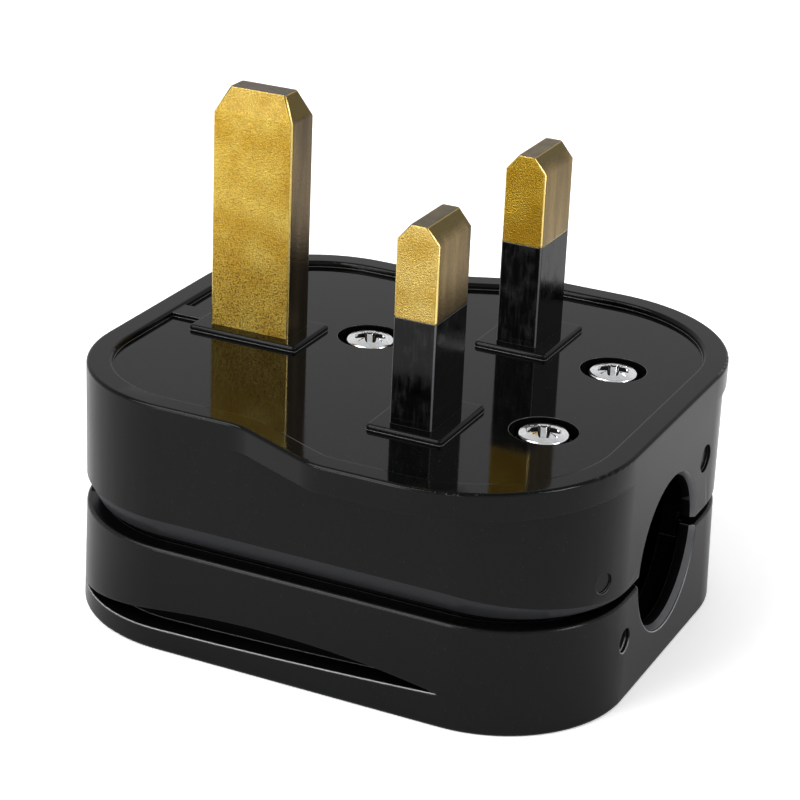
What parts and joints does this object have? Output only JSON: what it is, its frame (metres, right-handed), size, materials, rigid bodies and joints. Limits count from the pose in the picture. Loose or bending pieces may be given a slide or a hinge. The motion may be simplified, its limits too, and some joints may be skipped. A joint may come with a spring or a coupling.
{
  "type": "three pin mains plug",
  "caption": "Rewireable fused mains plug lying on its rear cover with rectangular brass pins up, a recessed pin face and a round side cord entry.",
  "frame": {"origin": "centre of the plug's footprint on the flat rear face of its cover", "axes": "+Z out of the pin face along the pins, +Y from the cord entry towards the earth pin, +X towards the neutral pin"},
  "size_m": [0.0508, 0.0524, 0.0456],
  "materials": {
    "black_moulding": "glossy moulded thermoset with a polished pin face",
    "pin_brass": "drawn brass bar, satin and slightly tarnished",
    "sleeve_black": "semi-gloss moulded insulation, scuffed",
    "terminal_brass": "machined brass",
    "spring_bronze": "rolled phosphor bronze strip",
    "fuse_ceramic": "unglazed white ceramic",
    "nickel_plate": "nickel plate on brass",
    "fuse_element": "tinned wire",
    "grip_plastic": "matt moulded plastic",
    "plated_steel": "bright zinc plated steel",
    "washer_fibre": "vulcanised fibre"
  },
  "bodies": {
    "root": {"pin_base": "black_moulding", "rear_cover": "black_moulding", "earth_pin": "pin_brass", "neutral_pin": "pin_brass", "line_pin": "pin_brass", "neutral_pin_sleeve": "sleeve_black", "line_pin_sleeve": "sleeve_black", "earth_terminal_screw": "terminal_brass", "neutral_terminal_screw": "terminal_brass", "line_terminal": "terminal_brass", "line_terminal_screw": "terminal_brass", "fuse_clip_pin_side": "spring_bronze", "fuse_clip_terminal_side": "spring_bronze", "fuse_clip_rivet_pin_side": "terminal_brass", "fuse_clip_rivet_terminal_side": "terminal_brass", "fuse_barrel": "fuse_ceramic", "fuse_cap_pin_side": "nickel_plate", "fuse_cap_terminal_side": "nickel_plate", "fuse_wire": "fuse_element", "cord_grip_bar": "grip_plastic", "cord_grip_nut_line_side": "plated_steel", "cord_grip_nut_neutral_side": "plated_steel", "cord_grip_screw_line_side": "plated_steel", "cord_grip_screw_neutral_side": "plated_steel", "cover_screw": "plated_steel", "cover_screw_insert": "terminal_brass", "cover_screw_retainer": "washer_fibre"}
  },
  "joints": []
}
